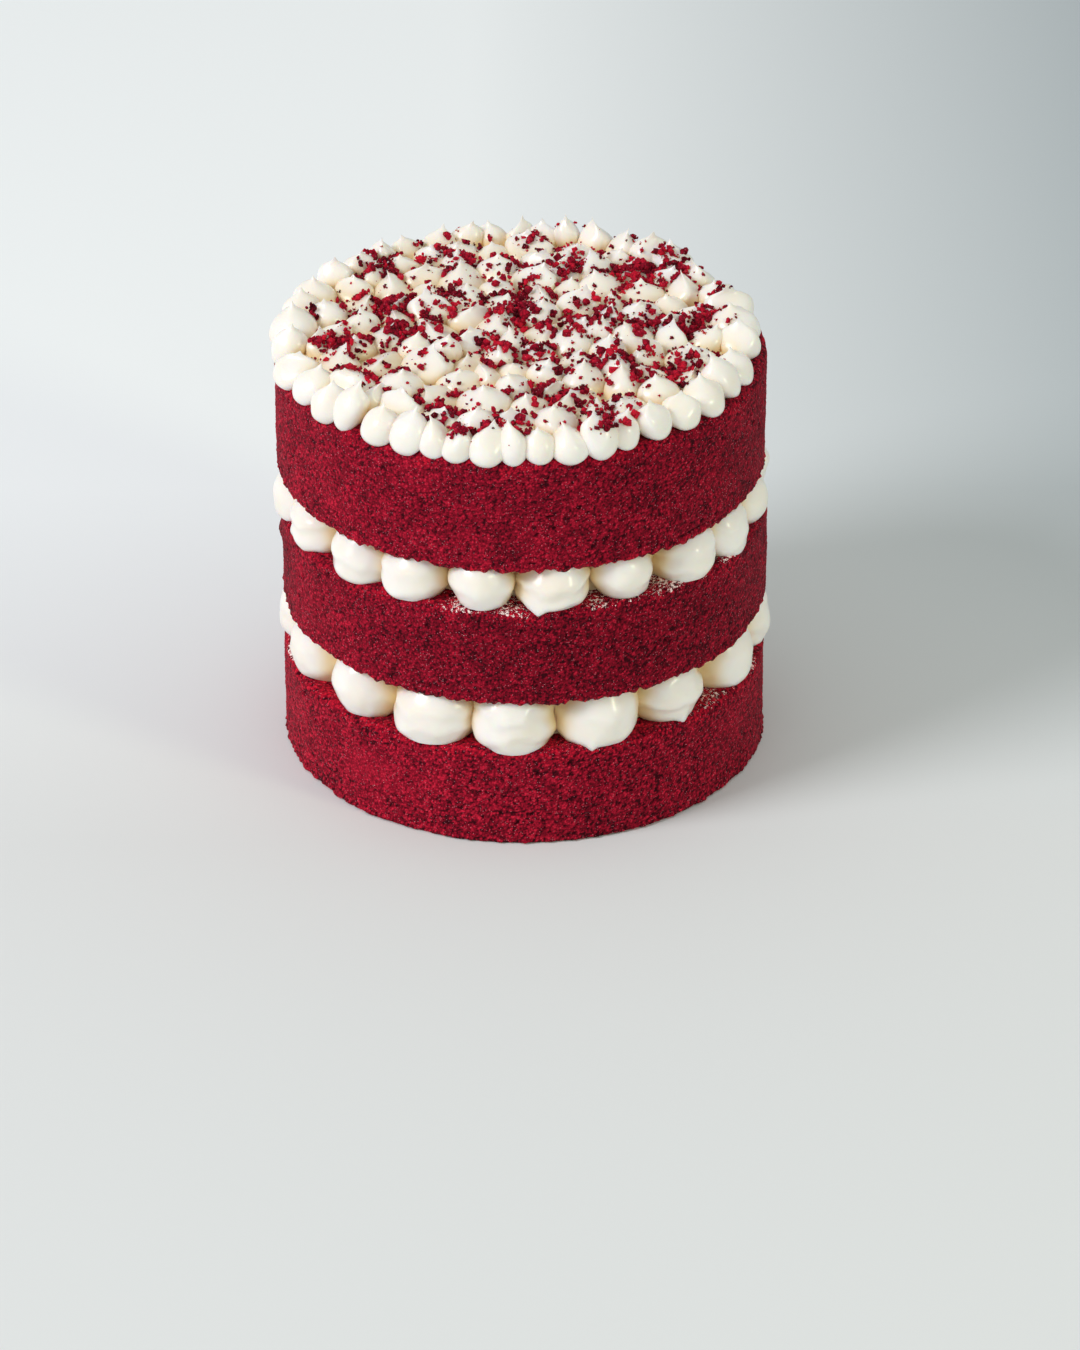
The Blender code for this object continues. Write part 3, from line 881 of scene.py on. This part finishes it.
def crumbs(body, finish):
    """Clumps, bits and dust of sponge crumb on the piped top."""
    cream = surface_of(body)
    rng = random.Random(CRUMB_DRIFT_SEED)
    clumps = []
    for x, y, size in crumb_clumps():
        hit, normal = landing(cream, x + PIPING_SHIFT[0], y + PIPING_SHIFT[1])
        clumps += clump(hit, normal, size, CRUMB_CLUMP_LUMPS, rng)
    crumb_piece("crumb_clumps", clumps, CRUMB_CLUMP_DETAIL, finish)
    places = []
    for x, y, spread, count in CRUMB_DRIFTS:
        for _ in range(round(count * CRUMB_DRIFT_DEPTH)):
            heap_x = rng.gauss(x, spread * CRUMB_DRIFT_TIGHTNESS) + CRUMB_DRIFT_SHIFT
            heap_y = rng.gauss(y, spread * CRUMB_DRIFT_TIGHTNESS)
            places.append((heap_x, heap_y, CRUMB_BIT_SIZES))
    for _ in range(CRUMB_STRAYS):
        distance = CRUMB_STRAY_RADIUS * math.sqrt(rng.random())
        angle = rng.uniform(0, 2 * math.pi)
        places.append((distance * math.sin(angle), distance * math.cos(angle), CRUMB_STRAY_SIZES))
    bits = []
    dust = []
    for x, y, (low, high) in places:
        hit, normal = settled(cream, x, y, rng, rng.choice(CRUMB_SETTLE_TRIES))
        if hit is not None and hit.z > TOP_FACE and normal.z > CRUMB_STEEPEST:
            size = low + (high - low) * rng.random() ** CRUMB_SMALLNESS
            bits += clump(hit, normal, size, rng.choice(CRUMB_BIT_LUMPS), rng)
    for _ in range(CRUMB_DUST):
        x, y, _ = rng.choice(places)
        hit, _ = landing(cream, rng.gauss(x, CRUMB_DUST_SPREAD), rng.gauss(y, CRUMB_DUST_SPREAD))
        if hit is not None and hit.z > TOP_FACE:
            dust.append((hit, rng.uniform(*CRUMB_DUST_SIZES), rng.uniform(*CRUMB_DUST_TONES)))
    crumb_piece("crumb_bits", bits, CRUMB_BIT_DETAIL, finish)
    crumb_piece("crumb_dust", dust, CRUMB_BIT_DETAIL, finish)


def add(tree, kind, settings=None, links=None, stops=None):
    """Adds a shader node, sets its values, joins sockets to it and fills its ramp."""
    made = tree.nodes.new("ShaderNode" + kind)
    for name, value in (settings or {}).items():
        if isinstance(name, int) or name in made.inputs:
            made.inputs[name].default_value = value
        else:
            setattr(made, name, value)
    for name, socket in (links or {}).items():
        tree.links.new(socket, made.inputs[name])
    for number, (place, colour) in enumerate(stops or ()):
        ramp = made.color_ramp.elements
        stop = ramp[number] if number < 2 else ramp.new(place)
        stop.position = place
        stop.color = colour
    return made


def new_material(name):
    """A material, its emptied tree, and the link that puts a pattern on the object's own coordinates."""
    made = bpy.data.materials.new(name)
    made.use_nodes = True
    tree = made.node_tree
    tree.nodes.clear()
    return made, tree, {"Vector": add(tree, "TexCoord").outputs["Object"]}


def baked_sponge(name, low, middle, high, torn_and_bounce_colour):
    """Baked sponge, trimmed bare: a dry open crumb, matt and grainy, lighter where torn, with painted bounce
    light.
    """
    made, tree, here = new_material(name)
    # Cells of crumb with dark gaps between them, in broad darker and lighter patches
    cells = add(tree, "TexVoronoi", {"Scale": 1 / SPONGE_CELL}, here)
    patches = add(tree, "TexNoise", {"Scale": 1 / SPONGE_PATCH, "Detail": 3.0, "Roughness": 0.6}, here)
    light = add(tree, "Attribute", {"attribute_name": "light"})
    cell = add(tree, "MapRange", {"To Min": -0.30, "To Max": 0.30}, {"Value": cells.outputs["Color"]})
    gap = add(
        tree, "MapRange", {"From Min": 0.2, "From Max": 0.8, "To Min": 0.10, "To Max": -0.22},
        {"Value": cells.outputs["Distance"]},
    )
    broad = add(
        tree, "MapRange", {"From Min": 0.3, "From Max": 0.7, "To Min": -0.10, "To Max": 0.10},
        {"Value": patches.outputs["Fac"]},
    )
    grain = add(tree, "Math", {"operation": "ADD"}, {0: light.outputs["Fac"], 1: cell.outputs["Result"]})
    sunk = add(tree, "Math", {"operation": "ADD"}, {0: grain.outputs["Value"], 1: gap.outputs["Result"]})
    shade = add(tree, "Math", {"operation": "ADD"}, {0: sunk.outputs["Value"], 1: broad.outputs["Result"]})
    crumb = add(
        tree, "ValToRGB", {}, {"Fac": shade.outputs["Value"]},
        [(0.0, srgb(low)), (1.0, srgb(high)), (0.5, srgb(middle))],
    )
    # Brighter, redder: fresh crumb at torn lower edges, and painted bounce light along the upper edges
    torn = add(tree, "Attribute", {"attribute_name": "torn"})
    bright = add(
        tree, "ValToRGB", {}, {"Fac": shade.outputs["Value"]},
        [(0.0, srgb(low)), (0.9, srgb(torn_and_bounce_colour)), (0.35, srgb(middle))],
    )
    base = add(
        tree, "Mix", {"data_type": "RGBA"},
        {0: torn.outputs["Fac"], 6: crumb.outputs["Color"], 7: bright.outputs["Color"]},
    )
    # Painted highlights: glints on the crumb, few and small
    glint_cells = add(tree, "TexVoronoi", {"Scale": 1 / PAINTED_GLINT_SIZE}, here)
    picked = add(tree, "SeparateColor", {}, {"Color": glint_cells.outputs["Color"]})
    few = add(
        tree, "MapRange", {"From Min": 0.86, "From Max": 0.90, "To Max": 0.55},
        {"Value": picked.outputs["Blue"]},
    )
    small = add(
        tree, "MapRange", {"From Min": 0.35, "From Max": 0.25},
        {"Value": glint_cells.outputs["Distance"]},
    )
    painted_highlight = add(
        tree, "Math", {"operation": "MULTIPLY"},
        {0: few.outputs["Result"], 1: small.outputs["Result"]},
    )
    with_painted_highlights = add(
        tree, "Mix", {"data_type": "RGBA", 7: srgb("#d98c98")},
        {0: painted_highlight.outputs["Value"], 6: base.outputs[2]},
    )
    # Cream wiped over an edge, caught on the crumb in streaks
    smeared = add(tree, "Attribute", {"attribute_name": "smeared"})
    streaks = add(tree, "TexNoise", {"Scale": 1 / WIPE_STREAK, "Detail": 4.0, "Roughness": 0.8}, here)
    reach = add(tree, "MapRange", {"To Min": 0.72, "To Max": 0.50}, {"Value": smeared.outputs["Fac"]})
    caught = add(
        tree, "Math", {"operation": "GREATER_THAN"},
        {0: streaks.outputs["Fac"], 1: reach.outputs["Result"]},
    )
    colour = add(
        tree, "Mix", {"data_type": "RGBA", 7: srgb("#fbe3e1")},
        {0: caught.outputs["Value"], 6: with_painted_highlights.outputs[2]},
    )
    fine = add(tree, "TexNoise", {"Scale": 1 / SPONGE_CELL, "Detail": 2.0, "Roughness": 0.6}, here)
    bump = add(tree, "Bump", {"Strength": 0.6, "Distance": 0.0003}, {"Height": fine.outputs["Fac"]})
    shader = add(
        tree, "BsdfPrincipled",
        {"Roughness": 0.85, "IOR": 1.45, "Specular IOR Level": 0.08, "Sheen Weight": 0.05,
         "Sheen Roughness": 0.45, "Sheen Tint": srgb("#ffc8d0")},
        {"Base Color": colour.outputs[2], "Normal": bump.outputs["Normal"]},
    )
    add(tree, "OutputMaterial", {}, {"Surface": shader.outputs["BSDF"]})
    return made


def whipped_cream_cheese():
    """Whipped cream cheese icing from a plain nozzle: smooth, softly glossy and lit through a little."""
    made, tree, here = new_material("whipped_cream_cheese")
    patches = add(tree, "TexNoise", {"Scale": 1 / CREAM_PATCH, "Detail": 2.0}, here)
    open_cream = add(
        tree, "ValToRGB", {}, {"Fac": patches.outputs["Fac"]},
        [(0.3, srgb("#f6eee4")), (0.7, srgb("#faf4f0"))],
    )
    # Painted shade: darker and warmer where the cream lies deep between its neighbours
    hollow = add(tree, "Attribute", {"attribute_name": "hollow"})
    deep = add(tree, "Math", {"operation": "MULTIPLY", 1: 0.85}, {0: hollow.outputs["Fac"]})
    base = add(
        tree, "Mix", {"data_type": "RGBA", 7: srgb("#f0d6a0")},
        {0: deep.outputs["Value"], 6: open_cream.outputs["Color"]},
    )
    dimples = add(tree, "TexNoise", {"Scale": 1 / CREAM_DIMPLE, "Detail": 2.0}, here)
    bump = add(tree, "Bump", {"Strength": 0.25, "Distance": 0.0004}, {"Height": dimples.outputs["Fac"]})
    shader = add(
        tree, "BsdfPrincipled",
        {"Roughness": 0.30, "IOR": 1.45, "Coat Weight": 0.25, "Coat Roughness": 0.14,
         "Subsurface Weight": 0.5, "Subsurface Radius": (1.0, 0.70, 0.45), "Subsurface Scale": 0.006},
        {"Base Color": base.outputs[2], "Normal": bump.outputs["Normal"]},
    )
    add(tree, "OutputMaterial", {}, {"Surface": shader.outputs["BSDF"]})
    return made


def pale_paper():
    """A matt pale paper sweep, a little cool, with painted light to the back and painted shade to the back
    right.
    """
    made, tree, here = new_material("pale_paper")
    axes = add(tree, "SeparateXYZ", {}, here)
    # Painted light towards the back, and painted shade towards the back right
    back = add(tree, "MapRange", {"From Min": -0.1, "From Max": 0.2}, {"Value": axes.outputs["Y"]})
    right = add(tree, "MapRange", {"From Min": -0.03, "From Max": 0.3}, {"Value": axes.outputs["X"]})
    dim = add(
        tree, "Math", {"operation": "MULTIPLY"},
        {0: back.outputs["Result"], 1: right.outputs["Result"]},
    )
    pale = add(
        tree, "Mix", {"data_type": "RGBA", 6: srgb("#e0e3e6"), 7: srgb("#f7fbff")},
        {0: back.outputs["Result"]},
    )
    base = add(
        tree, "Mix", {"data_type": "RGBA", 7: srgb("#b5bec4")},
        {0: dim.outputs["Value"], 6: pale.outputs[2]},
    )
    shader = add(tree, "BsdfPrincipled", {"Roughness": 0.9}, {"Base Color": base.outputs[2]})
    add(tree, "OutputMaterial", {}, {"Surface": shader.outputs["BSDF"]})
    return made


def floor(finish):
    """A wide flat floor, which is no part of the cake."""
    bm = bmesh.new()
    bmesh.ops.create_grid(bm, x_segments=1, y_segments=1, size=FLOOR_HALF_WIDTH)
    piece = add_piece("floor", bm, finish)
    piece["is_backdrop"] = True


def area_light(name, place, width, power, colour):
    """A round soft light that shines at the cake's middle."""
    data = bpy.data.lights.new(name, "AREA")
    data.shape = "DISK"
    data.size = width
    data.energy = power
    data.color = srgb(colour)[:3]
    light = bpy.data.objects.new(name, data)
    light.location = place
    light.rotation_euler = (Vector(LIGHT_AIM) - Vector(place)).to_track_quat("-Z", "Y").to_euler()
    bpy.context.scene.collection.objects.link(light)


def studio_light():
    """A large soft light from the front left, a weaker one from the right, and pale light all round."""
    for light in LIGHTS:
        area_light(*light)
    world = bpy.data.worlds.new("pale_room")
    world.use_nodes = True
    backdrop = world.node_tree.nodes["Background"]
    backdrop.inputs["Color"].default_value = srgb(ROOM_COLOUR)
    backdrop.inputs["Strength"].default_value = ROOM_STRENGTH
    bpy.context.scene.world = world
    bpy.context.scene.view_settings.view_transform = "Standard"


def write_sizes():
    """Works out the solids' box and the dressed model's as plain lists, and then drops them."""
    boxes = {"cad": CAD_BOX, "scene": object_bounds()}
    plain = {name: [list(corner) for corner in box] for name, box in boxes.items()}


def main():
    clear_new_file()
    set_camera()
    red_sponge = baked_sponge("baked_red_sponge", *LAYER_COLOURS)
    cream = whipped_cream_cheese()
    for number in range(len(SPONGE_NODES)):
        sponge(number, red_sponge)
    for number in range(len(FILLING_NODES)):
        filling(number, cream)
    body = topping(cream)
    crumbs(body, baked_sponge("dry_sponge_crumb", *CRUMB_COLOURS))
    floor(pale_paper())
    studio_light()
    write_sizes()


main()
